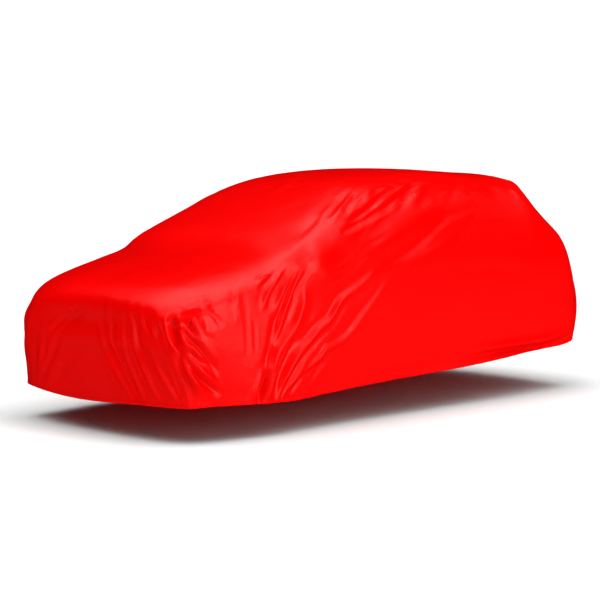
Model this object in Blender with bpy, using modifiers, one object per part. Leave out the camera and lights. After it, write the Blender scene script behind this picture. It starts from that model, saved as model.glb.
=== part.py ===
"""Fitted car cover, one thin cloth shell, open underneath, in the shape of a small hatchback.

Metres, +Z up. The nose faces -Y and the tail +Y. The origin is under the top of the roof, where
the cover is held up. The tables below give heights above the ground, which lies
SUPPORT_HEIGHT under the origin.
"""
from collections import namedtuple

import bmesh
import bpy
import numpy as np

# --- Driving dimensions ---------------------------------------------------------------------
CLOTH_THICKNESS = 0.003
ROOF_HEIGHT = 1.56                              # top of the cloth above the ground
SUPPORT_HEIGHT = ROOF_HEIGHT - CLOTH_THICKNESS  # the roof lifts the cloth from inside here
SUPPORT_Y = 0.45                                # and this far behind the tables' own origin
HALF_WIDTH = 0.90

# --- The grid that becomes the cloth --------------------------------------------------------
ACROSS = 28       # columns over the top, most of them on the +X half, where the folds are
ALONG = 40        # rows from nose to tail, closest behind the nose and at the roof's end
DOWN = 12         # levels from the shoulder line to the hem
COLUMN_SPREAD = ((-1.0, -0.5, 1.0), (-1.0, 0.0, 1.0))     # even spacing, spacing used
ROW_SPREAD = (
    (-1.0, -0.80, -0.65, 0.20, 0.55, 0.80, 1.0),
    (-1.0, -0.89, -0.70, -0.10, 0.54, 0.74, 1.0),
)
SMOOTHING_PASSES = 3

# --- How far the grid's lines lean with the folds: where a line starts, its shift at the hem --
NOSE_LEAN = (
    (-1.0, -0.35, 0.05, 0.25, 0.50, 0.78, 1.0),
    (0.0, 0.0, 0.33, 0.32, 0.27, 0.12, 0.0),
)
SIDE_LEAN = (
    (-1.0, -0.75, -0.62, -0.51, -0.275, -0.14, 0.45, 1.0),
    (0.0, 0.0, -0.05, -0.135, -0.335, -0.42, 0.0, 0.0),
)

# --- Sections across the cover, from the nose to the tail -----------------------------------
# Each half section runs from the crown on the centre line over the roof or bonnet edge to the
# shoulder, and from there down the side to the hem. crown_x, edge and side steer the curves.
Section = namedtuple(
    "Section", "y crown_z crown_x edge_x edge_z shoulder_x shoulder_z side_x hem_x hem_z"
)
SECTIONS = (
    Section(-2.02, 0.770, 0.400, 0.600, 0.735, 0.780, 0.660, 0.800, 0.780, 0.210),
    Section(-2.00, 0.835, 0.450, 0.665, 0.790, 0.800, 0.685, 0.830, 0.810, 0.215),
    Section(-1.87, 0.915, 0.500, 0.745, 0.885, 0.840, 0.805, 0.865, 0.835, 0.210),
    Section(-1.45, 1.025, 0.520, 0.795, 1.010, 0.870, 0.895, 0.890, 0.865, 0.200),
    Section(-1.13, 1.110, 0.555, 0.805, 1.100, 0.880, 0.940, 0.900, 0.880, 0.195),
    Section(-0.97, 1.205, 0.615, 0.820, 1.185, 0.880, 0.930, 0.900, 0.880, 0.205),
    Section(-0.59, 1.395, 0.650, 0.820, 1.380, 0.885, 0.955, 0.900, 0.880, 0.225),
    Section(-0.24, 1.520, 0.670, 0.785, 1.485, 0.890, 0.965, 0.900, 0.880, 0.240),
    Section(0.15, 1.560, 0.680, 0.730, 1.520, 0.885, 0.970, 0.900, 0.880, 0.245),
    Section(0.70, 1.555, 0.660, 0.680, 1.510, 0.885, 0.975, 0.900, 0.880, 0.265),
    Section(1.15, 1.525, 0.645, 0.665, 1.480, 0.880, 0.975, 0.895, 0.865, 0.295),
    Section(1.36, 1.515, 0.640, 0.705, 1.500, 0.870, 0.965, 0.890, 0.860, 0.300),
    Section(1.42, 1.445, 0.610, 0.715, 1.405, 0.870, 0.965, 0.885, 0.860, 0.305),
    Section(1.63, 1.260, 0.590, 0.725, 1.230, 0.865, 0.965, 0.880, 0.855, 0.310),
    Section(1.78, 1.120, 0.575, 0.770, 1.100, 0.845, 0.925, 0.875, 0.850, 0.315),
    Section(1.86, 0.960, 0.570, 0.790, 0.935, 0.815, 0.815, 0.875, 0.845, 0.330),
)

# --- Ends: how the nose and tail round off in plan and bulge in profile ----------------------
End = namedtuple("End", "narrowing narrowing_power sweep sweep_power bow bulge tuck")
NOSE = End(0.040, 10.0, 0.040, 4.5, 0.035, 0.010, 0.015)
TAIL = End(0.045, 10.0, 0.065, 4.5, 0.030, 0.080, -0.025)
END_REACH = 0.8   # the bulge of an end fades out over this length
SAG_X = -0.02     # the front hem hangs a little lower round here
SAG_WIDTH = 0.32
SAG_DEPTH = 0.026

# --- Soft bumps: mirrors and the tents above them, roof's rear corners, hatch's foot, lamp -----
Bump = namedtuple("Bump", "x y z radius height")
BUMPS = (
    Bump(0.84, -0.95, 1.04, 0.16, 0.045),
    Bump(0.78, -0.72, 1.20, 0.22, 0.028),
    Bump(-0.84, -0.93, 1.04, 0.16, 0.045),
    Bump(-0.79, -0.78, 1.18, 0.14, 0.018),
    Bump(0.59, 1.35, 1.51, 0.08, 0.032),
    Bump(-0.59, 1.35, 1.51, 0.08, 0.032),
    Bump(0.72, 1.75, 1.12, 0.12, 0.018),
    Bump(-0.72, 1.75, 1.12, 0.12, 0.018),
    Bump(-0.77, -1.89, 0.62, 0.16, 0.014),
)

# --- Folds: ridges (height over 0) and troughs, each through three points --------------------
Fold = namedtuple("Fold", "start middle end width height")
FOLDS = (
    # nose: the cloth sinks in a little between the lamps, and again over the bumper
    Fold((-0.58, -1.97, 0.65), (-0.05, -2.01, 0.67), (0.48, -1.98, 0.68), 0.070, -0.014),
    Fold((-0.62, -1.96, 0.48), (0.00, -2.02, 0.49), (0.60, -1.96, 0.50), 0.060, -0.006),
    # nose, right of the middle: long ridges from the bonnet lip that lean to the hem
    Fold((0.08, -2.00, 0.78), (0.20, -2.04, 0.57), (0.41, -1.97, 0.22), 0.028, 0.016),
    Fold((0.19, -2.00, 0.78), (0.28, -2.04, 0.56), (0.46, -1.98, 0.22), 0.024, 0.012),
    Fold((0.30, -1.99, 0.79), (0.39, -2.03, 0.55), (0.53, -1.96, 0.22), 0.026, 0.015),
    Fold((0.38, -1.98, 0.79), (0.49, -2.02, 0.56), (0.61, -1.95, 0.22), 0.026, 0.015),
    Fold((0.60, -1.99, 0.52), (0.66, -1.96, 0.38), (0.72, -1.92, 0.24), 0.028, 0.012),
    # nose, left half: two faint ones
    Fold((-0.08, -2.00, 0.74), (-0.22, -2.04, 0.64), (-0.36, -2.04, 0.50), 0.045, 0.010),
    Fold((-0.27, -2.04, 0.55), (-0.42, -2.01, 0.40), (-0.60, -1.95, 0.24), 0.050, 0.010),
    # +X front corner: pinched creases that fan back and down
    Fold((0.66, -1.95, 0.74), (0.73, -1.93, 0.56), (0.79, -1.85, 0.24), 0.032, -0.018),
    Fold((0.74, -1.90, 0.74), (0.81, -1.83, 0.62), (0.86, -1.68, 0.50), 0.032, -0.014),
    Fold((0.75, -1.92, 0.54), (0.80, -1.84, 0.41), (0.85, -1.69, 0.30), 0.035, -0.014),
    # -X front corner, the side that the nose folds lean away from
    Fold((-0.70, -1.93, 0.72), (-0.77, -1.90, 0.52), (-0.80, -1.84, 0.26), 0.050, -0.008),
    Fold((-0.78, -1.86, 0.74), (-0.85, -1.70, 0.58), (-0.87, -1.52, 0.42), 0.050, 0.012),
    # +X side: ridges from the front of the hem up to the mirror's tent and the belt line
    Fold((0.86, -1.43, 0.22), (0.88, -1.40, 0.30), (0.88, -1.37, 0.40), 0.035, -0.020),
    Fold((0.87, -1.34, 0.22), (0.89, -1.25, 0.54), (0.90, -1.06, 0.84), 0.038, 0.018),
    Fold((0.87, -1.28, 0.22), (0.90, -0.98, 0.57), (0.90, -0.60, 0.88), 0.038, 0.018),
    Fold((0.87, -1.24, 0.22), (0.90, -0.86, 0.50), (0.89, -0.32, 0.88), 0.038, 0.016),
    Fold((0.85, -0.98, 1.00), (0.89, -1.18, 0.80), (0.88, -1.35, 0.51), 0.036, 0.016),
    Fold((0.84, -1.12, 0.99), (0.88, -1.26, 0.88), (0.89, -1.36, 0.76), 0.036, 0.012),
    # -X side: wider folds to the same two supports
    Fold((-0.87, -1.30, 0.22), (-0.90, -1.05, 0.56), (-0.88, -0.84, 0.92), 0.055, 0.016),
    Fold((-0.87, -1.22, 0.22), (-0.90, -0.80, 0.52), (-0.89, -0.36, 0.84), 0.060, 0.014),
    # roof edge over the +X front door: ridge and trough that run up from the screen pillar
    Fold((0.72, -0.70, 1.22), (0.66, -0.36, 1.39), (0.52, -0.02, 1.50), 0.050, 0.014),
    Fold((0.80, -0.56, 1.18), (0.72, -0.18, 1.34), (0.48, 0.36, 1.53), 0.045, -0.014),
    Fold((0.87, -0.16, 1.03), (0.84, 0.12, 1.12), (0.77, 0.46, 1.25), 0.060, -0.010),
    # the same edge on the -X side
    Fold((-0.74, -0.66, 1.24), (-0.66, -0.30, 1.41), (-0.50, 0.10, 1.51), 0.060, 0.012),
    # tail: slack folds under the hatch corners
    Fold((0.66, 1.80, 0.86), (0.76, 1.80, 0.62), (0.80, 1.72, 0.36), 0.055, 0.012),
    Fold((-0.60, 1.86, 0.82), (-0.74, 1.84, 0.58), (-0.80, 1.74, 0.36), 0.055, 0.014),
    Fold((0.24, 1.93, 0.70), (0.32, 1.93, 0.52), (0.44, 1.88, 0.34), 0.060, 0.010),
    # rear hem of the +X side, drawn in under a loose roll
    Fold((0.88, 0.62, 0.34), (0.87, 1.10, 0.375), (0.84, 1.56, 0.40), 0.040, -0.014),
)
PATH_STEPS = 16          # straight steps along each fold
FOLD_DEPTH = 0.12        # a fold moves only cloth this near its own path
FLANK = 0.45             # share of the height that is taken back beside the fold


def smooth_rows(table, share):
    """The table's rows, joined by a smooth curve and read at shares of its length, 0 to 1."""
    chords = np.hypot(np.diff(table[:, 0]), np.diff(table[:, 1]))
    stops = np.concatenate(([0.0], np.cumsum(chords))) / chords.sum()
    after = np.minimum(np.arange(len(table)) + 1, len(table) - 1)
    before = np.maximum(np.arange(len(table)) - 1, 0)
    slopes = (table[after] - table[before]) / (stops[after] - stops[before])[:, None]
    row = np.clip(np.searchsorted(stops, share, side="right") - 1, 0, len(table) - 2)
    length = (stops[row + 1] - stops[row])[:, None]
    t = (share - stops[row])[:, None] / length
    return (
        (2 * t**3 - 3 * t**2 + 1) * table[row]
        + (t**3 - 2 * t**2 + t) * length * slopes[row]
        + (3 * t**2 - 2 * t**3) * table[row + 1]
        + (t**3 - t**2) * length * slopes[row + 1]
    )


def bezier(a, b, c, d, t):
    """A cubic curve from a to d that b and c steer."""
    return (1 - t) ** 3 * a + 3 * (1 - t) ** 2 * t * b + 3 * (1 - t) * t**2 * c + t**3 * d


def drape(across, along, down):
    """Places of the cloth: across and along from -1 to 1 over the top, down from 0 to 1."""
    share = (along + 1) / 2
    s = Section(*smooth_rows(np.array(SECTIONS), share).T)
    outward = np.abs(across)
    top_x = bezier(0, s.crown_x, s.edge_x, s.shoulder_x, outward)
    top_z = bezier(s.crown_z, s.crown_z, s.edge_z, s.shoulder_z, outward)

    overhang = 0.35                                    # the shoulder keeps the edge's slope
    lean_x = s.shoulder_x + (s.shoulder_x - s.edge_x) * overhang
    lean_x = np.minimum(lean_x, s.side_x + 0.01)
    lean_z = s.shoulder_z - (s.edge_z - s.shoulder_z) * overhang - 0.04
    middle_z = s.hem_z * 0.6 + s.shoulder_z * 0.4
    side_x = bezier(s.shoulder_x, lean_x, s.side_x, s.hem_x, down)
    side_z = bezier(s.shoulder_z, lean_z, middle_z, s.hem_z, down)

    on_end = np.abs(along) > 0.9999
    blend = down**0.7
    end_x = (1 - blend) * top_x + blend * side_x * outward**0.96
    end_z = side_z + (top_z - s.shoulder_z) * (1 - down) ** 1.5
    x = np.where(down > 0, np.where(on_end, end_x, side_x), top_x)
    z = np.where(down > 0, np.where(on_end, end_z, side_z), top_z)
    return round_ends(np.sign(across) * x, s.y, z, down)


def round_ends(x, y, z, down):
    """The nose and tail bulge between rim and hem, and round off in plan."""
    nose_y, tail_y = SECTIONS[0].y, SECTIONS[-1].y
    belly = np.sin(np.pi * down**1.1)
    near_nose = np.clip(1 - (y - nose_y) / END_REACH, 0, 1) ** 2
    near_tail = np.clip(1 - (tail_y - y) / END_REACH, 0, 1) ** 2
    y = y - near_nose * (NOSE.bulge * belly - NOSE.tuck * down**2)
    y = y + near_tail * (TAIL.bulge * belly - TAIL.tuck * down**2)
    z = z - near_nose * SAG_DEPTH * np.exp(-(((x - SAG_X) / SAG_WIDTH) ** 2)) * down**3

    middle = (nose_y + tail_y) / 2
    reach = (y - middle) / ((tail_y - nose_y) / 2)
    out = np.abs(x) / HALF_WIDTH
    rounded = []
    for end in (NOSE, TAIL):
        narrowing = end.narrowing * np.abs(reach) ** end.narrowing_power
        sweep = (end.sweep * out**end.sweep_power + end.bow * out**2) * np.abs(reach)
        rounded.append((x * (1 - narrowing), middle + (y - middle) * (1 - sweep)))
    at_nose = reach < 0
    x, y = (np.where(at_nose, nose, tail) for nose, tail in zip(*rounded))
    return np.stack((x, y, z), axis=1)


def add_bump(places, normals, bump):
    """Pushes the cloth out round one point."""
    away = np.linalg.norm(places - np.array(bump[:3]), axis=1) / bump.radius
    return places + normals * (bump.height * np.exp(-away**2))[:, None]


def fold_path(fold):
    """Points along the curve through the fold's three points."""
    start, middle, end = np.array(fold.start), np.array(fold.middle), np.array(fold.end)
    steer = 2 * middle - (start + end) / 2
    t = np.linspace(0, 1, PATH_STEPS + 1)[:, None]
    return (1 - t) ** 2 * start + 2 * t * (1 - t) * steer + t**2 * end


def add_fold(places, normals, fold):
    """Raises a ridge, or sinks a trough, along the fold's path, fading at both ends."""
    path = fold_path(fold)
    nearest = np.full(len(places), np.inf)
    share = np.zeros(len(places))
    for step, (a, b) in enumerate(zip(path[:-1], path[1:])):
        along = b - a
        t = np.clip((places - a) @ along / (along @ along), 0, 1)
        gap = places - a - t[:, None] * along
        off_cloth = np.einsum("ij,ij->i", gap, normals)
        gap -= off_cloth[:, None] * normals
        distance = np.linalg.norm(gap, axis=1)
        distance[np.abs(off_cloth) > FOLD_DEPTH] = np.inf
        closer = distance < nearest
        nearest[closer] = distance[closer]
        share[closer] = (step + t[closer]) / PATH_STEPS
    ends = np.sin(np.pi * (0.08 + 0.84 * share)) ** 0.6
    ridge = np.exp(-((nearest / fold.width) ** 2))
    flank = np.exp(-(((nearest - 2 * fold.width) / (0.9 * fold.width)) ** 2))
    lift = fold.height * ends * (ridge - FLANK * flank)
    return places + normals * lift[:, None]


def read_places(mesh_data):
    return np.array([v.co for v in mesh_data.verts])


def read_normals(mesh_data):
    mesh_data.normal_update()
    return np.array([v.normal for v in mesh_data.verts])


def write_places(mesh_data, places):
    for vertex, place in zip(mesh_data.verts, places):
        vertex.co = place


def cover_sheet():
    """The cloth's outer face: a grid over the top, with its rim drawn down to the hem."""
    sheet = bmesh.new()
    bmesh.ops.create_grid(sheet, x_segments=ACROSS, y_segments=ALONG, size=1.0)
    for level in range(1, DOWN + 1):
        rim = [edge for edge in sheet.edges if edge.is_boundary]
        drawn = bmesh.ops.extrude_edge_only(sheet, edges=rim)["geom"]
        for item in drawn:
            if isinstance(item, bmesh.types.BMVert):
                item.co.z = level / DOWN
    bmesh.ops.recalc_face_normals(sheet, faces=sheet.faces)

    across, along, down = read_places(sheet).T
    across, along = np.interp(across, *COLUMN_SPREAD), np.interp(along, *ROW_SPREAD)
    nose_lean = np.where(along == -1, down * np.interp(across, *NOSE_LEAN), 0)
    side_lean = np.where(across == 1, down * np.interp(along, *SIDE_LEAN), 0)
    places = drape(across + nose_lean, along + side_lean, down)
    write_places(sheet, places)
    inner = [vertex for vertex in sheet.verts if not vertex.is_boundary]
    for _ in range(SMOOTHING_PASSES):
        bmesh.ops.smooth_vert(
            sheet, verts=inner, factor=0.5, use_axis_x=True, use_axis_y=True, use_axis_z=True
        )
    bmesh.ops.recalc_face_normals(sheet, faces=sheet.faces)

    for bump in BUMPS:
        write_places(sheet, add_bump(read_places(sheet), read_normals(sheet), bump))
    places, normals = read_places(sheet), read_normals(sheet)
    for fold in FOLDS:
        places = add_fold(places, normals, fold)
    write_places(sheet, places)
    return sheet


def red_cloth():
    """Thin red polyester with a soft shine."""
    material = bpy.data.materials.new("red_cloth")
    material.use_nodes = True
    shader = material.node_tree.nodes["Principled BSDF"]
    shader.inputs["Base Color"].default_value = (0.90, 0.003, 0.004, 1.0)
    shader.inputs["Roughness"].default_value = 0.42
    shader.inputs["Metallic"].default_value = 0.0
    return material


def cover_cloth(collection):
    """The cover: the sheet with its thickness added inwards."""
    sheet = cover_sheet()
    mesh = bpy.data.meshes.new("cover_cloth")
    sheet.to_mesh(mesh)
    sheet.free()
    mesh.shade_smooth()
    mesh.materials.append(red_cloth())
    cover = bpy.data.objects.new("cover_cloth", mesh)
    cover.location = (0.0, -SUPPORT_Y, -SUPPORT_HEIGHT)
    collection.objects.link(cover)
    solidify = cover.modifiers.new("thickness", "SOLIDIFY")
    solidify.thickness = CLOTH_THICKNESS
    solidify.offset = -1.0
    return cover


def main():
    for old in list(bpy.data.objects):
        bpy.data.objects.remove(old)
    collection = bpy.data.collections.new("car_cover")
    bpy.context.scene.collection.children.link(collection)
    cover_cloth(collection)


main()
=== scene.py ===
import math
import random

import bmesh
import bpy
import numpy as np
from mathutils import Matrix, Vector, noise


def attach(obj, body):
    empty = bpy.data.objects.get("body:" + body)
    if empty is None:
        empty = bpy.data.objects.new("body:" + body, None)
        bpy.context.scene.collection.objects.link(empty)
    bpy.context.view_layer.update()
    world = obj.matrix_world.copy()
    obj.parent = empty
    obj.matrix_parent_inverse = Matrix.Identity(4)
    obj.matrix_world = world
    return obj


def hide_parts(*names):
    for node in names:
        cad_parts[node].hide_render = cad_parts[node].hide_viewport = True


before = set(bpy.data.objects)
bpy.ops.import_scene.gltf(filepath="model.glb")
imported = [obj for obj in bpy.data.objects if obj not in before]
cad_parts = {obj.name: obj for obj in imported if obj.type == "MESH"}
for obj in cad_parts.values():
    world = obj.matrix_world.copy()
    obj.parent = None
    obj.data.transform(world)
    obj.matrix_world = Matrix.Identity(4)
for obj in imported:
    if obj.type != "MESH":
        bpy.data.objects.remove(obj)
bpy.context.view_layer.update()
print("frame loaded, nodes:", ", ".join(sorted(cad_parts)))


# The cover. Heights in its tables count from the floor, and lengths from a point that is
# supportY ahead of the roof's support. The finished mesh is moved to put the support at the origin.

cover = {
    "thickness": 0.0016,
    "supportHeight": 1.557,
    "supportY": 0.45,
    "halfWidth": 0.90,
    "columns": 64,         # over the top, most of them on the +X half
    "rows": 116,           # nose to tail, closest over the front quarter
    "levels": 28,          # shoulder line to hem
    "smoothing": 20,       # passes over the cloth, along its hem, and where the mesh is closer
    "hemEasing": 10,
    "fineSmoothing": 2,
    "hemBand": 0.024,      # height of the turned-in hem
    "hemEdge": 0.004,      # over which the band ends
    "hemProud": 0.0012,    # how far the hem stands out, being three layers thick
    "pucker": 0.0007,      # height of the elastic's puckers
    "puckerLengths": (0.043, 0.061, 0.083, 0.127),
    "puckerSlant": 1.03,   # how much faster they follow each other along the flanks
    "puckerRise": 0.035,   # how far up from the hem they fade
    "swell": (0.0024, 2.6),        # slow waves in the cloth: height, and how close they are
    "ripple": (0.0011, 7.5),
    "flatSize": (4.15, 5.55),
    "flatArea": 16.3,
    "seed": 7,
}

clothSize = {              # metres of cloth, in which the patterns of the look are laid out
    "halfTop": 0.95,       # centre line to shoulder
    "halfLength": 2.20,
    "side": 0.72,          # shoulder to hem, at the sides and at nose and tail
    "end": 0.60,
    "halfHemWidth": 0.85,
    "halfHemLength": 2.0,
    "hemDrop": 0.66,       # shoulder to hem on the average
}

# Shares across, along and down the cloth run from -1 to 1, -1 to 1 and 0 to 1.
rimShare = 0.9999          # from here on a share counts as the rim of the top
columnSpread = ((-1.0, -0.42, 1.0), (-1.0, 0.0, 1.0))     # even spacing, spacing used
rowSpread = (
    (-1.0, -0.82, -0.70, 0.32, 0.58, 0.80, 1.0),
    (-1.0, -0.89, -0.72, -0.12, 0.54, 0.74, 1.0),
)
levelSpread = ((0.0, 0.85, 1.0), (0.0, 0.94, 1.0))       # finer towards the hem
noseLean = (                                             # grid lines follow the folds
    (-1.0, -0.35, 0.05, 0.25, 0.50, 0.78, 1.0),
    (0.0, 0.0, 0.33, 0.32, 0.27, 0.12, 0.0),
)
sideLean = (
    (-1.0, -0.75, -0.62, -0.51, -0.275, -0.14, 0.45, 1.0),
    (0.0, 0.0, -0.05, -0.135, -0.335, -0.42, 0.0, 0.0),
)

# Where folds are close, and the mesh with them: ranges of the shares across, along and down
anyShare, onNose, onFlank, onTop = (-2.0, 2.0), (-2.0, -rimShare), (rimShare, 2.0), (-1.0, 0.001)
fineRegions = (
    ((-0.75, 2.0), onNose, anyShare),
    (onFlank, (-2.0, 0.05), anyShare),
    (onFlank, anyShare, (0.80, 2.0)),
    ((0.50, rimShare), (-0.90, 0.35), onTop),
)
finestRegions = (
    ((0.10, 0.97), onNose, anyShare),
)

sectionColumns = (
    "y", "crownZ", "crownX", "edgeX", "edgeZ",
    "shoulderX", "shoulderZ", "sideX", "hemX", "hemZ",
)
sectionRows = (
    (-2.02, 0.770, 0.400, 0.600, 0.735, 0.780, 0.660, 0.829, 0.820, 0.213),
    (-2.00, 0.835, 0.450, 0.665, 0.790, 0.800, 0.685, 0.862, 0.852, 0.215),
    (-1.87, 0.915, 0.500, 0.745, 0.885, 0.835, 0.805, 0.870, 0.840, 0.215),
    (-1.45, 1.025, 0.520, 0.780, 1.010, 0.845, 0.895, 0.912, 0.903, 0.203),
    (-1.13, 1.110, 0.555, 0.800, 1.100, 0.865, 0.940, 0.910, 0.898, 0.197),
    (-0.97, 1.205, 0.615, 0.820, 1.185, 0.880, 0.930, 0.900, 0.880, 0.205),
    (-0.59, 1.400, 0.650, 0.820, 1.380, 0.885, 0.955, 0.900, 0.880, 0.225),
    (-0.24, 1.528, 0.670, 0.785, 1.485, 0.890, 0.965, 0.900, 0.880, 0.240),
    (0.15, 1.567, 0.680, 0.730, 1.520, 0.885, 0.970, 0.900, 0.880, 0.245),
    (0.70, 1.555, 0.660, 0.680, 1.510, 0.885, 0.975, 0.900, 0.880, 0.265),
    (1.15, 1.525, 0.645, 0.665, 1.480, 0.880, 0.975, 0.895, 0.865, 0.295),
    (1.36, 1.515, 0.640, 0.705, 1.500, 0.870, 0.965, 0.890, 0.860, 0.300),
    (1.42, 1.445, 0.610, 0.715, 1.405, 0.870, 0.965, 0.885, 0.860, 0.305),
    (1.63, 1.260, 0.590, 0.725, 1.230, 0.865, 0.965, 0.880, 0.855, 0.310),
    (1.78, 1.120, 0.575, 0.770, 1.100, 0.845, 0.925, 0.875, 0.850, 0.322),
    (1.86, 0.960, 0.570, 0.790, 0.935, 0.815, 0.815, 0.882, 0.852, 0.340),
)

sideForm = {
    "overhang": 0.35,      # the side sets off along the edge's own slope for this share of it,
    "setOff": 0.04,        # this much further down, and no more than this past its widest line
    "pastSide": 0.01,
    "middle": 0.4,         # share of the shoulder's height at the side's middle
    "endBlend": 0.7,       # powers by which nose and tail turn from the top's curve to the hem's
    "endPinch": 0.96,
    "endDrop": 1.5,
}

ends = {
    "nose": {"narrowing": 0.04, "sweep": 0.040, "bow": 0.035, "bulge": 0.010, "tuck": 0.015},
    "tail": {"narrowing": 0.045, "sweep": 0.065, "bow": 0.03, "bulge": 0.080, "tuck": -0.025},
    "reach": 0.8,
    "sag": {"x": -0.10, "width": 0.40, "depth": 0.025},
    "bulgePower": 1.1,
    "narrowingPower": 10,
    "sweepPower": 4.5,
}

bumpColumns = ("x", "y", "z", "radius", "height")
bumps = (
    (0.84, -0.95, 1.04, 0.16, 0.045),       # mirrors, and the tent above each
    (0.78, -0.72, 1.20, 0.22, 0.028),
    (-0.84, -0.93, 1.04, 0.16, 0.045),
    (-0.79, -0.78, 1.18, 0.14, 0.018),
    (0.59, 1.35, 1.51, 0.08, 0.036),        # rear corners of the roof
    (-0.59, 1.35, 1.51, 0.08, 0.036),
    (0.72, 1.75, 1.12, 0.12, 0.018),        # foot of the hatch
    (-0.72, 1.75, 1.12, 0.12, 0.018),
    (-0.78, -1.90, 0.54, 0.16, 0.009),      # -X lamp
)

# Folds are drawn in the side view that shows them best. view is that view's azimuth (0 the
# nose, 90 the +X side, 180 the tail, 270 the -X side, "top" the plan); the path's pairs are
# the distance to the right and the height (x and y in the plan). width and height are the
# ridge's own, a height under 0 is a trough, and skew makes the flank left of the path steeper.
foldForm = {
    "reach": 4.0,          # widths beside its path that a fold reaches
    "crest": 1.8,          # power of the crest's curve
    "dip": (2.1, 0.95, 0.2),       # the dip beside each crest: how far out, how wide, how deep
    "fade": 0.6,           # power by which a fold dies out towards its ends
    "ends": (0.03, 0.97),  # where on the fading curve the path starts and stops
    "turned": (0.02, 0.14),        # a fold comes in as the cloth turns towards its view
    "leastFacing": 0.25,
}

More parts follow.
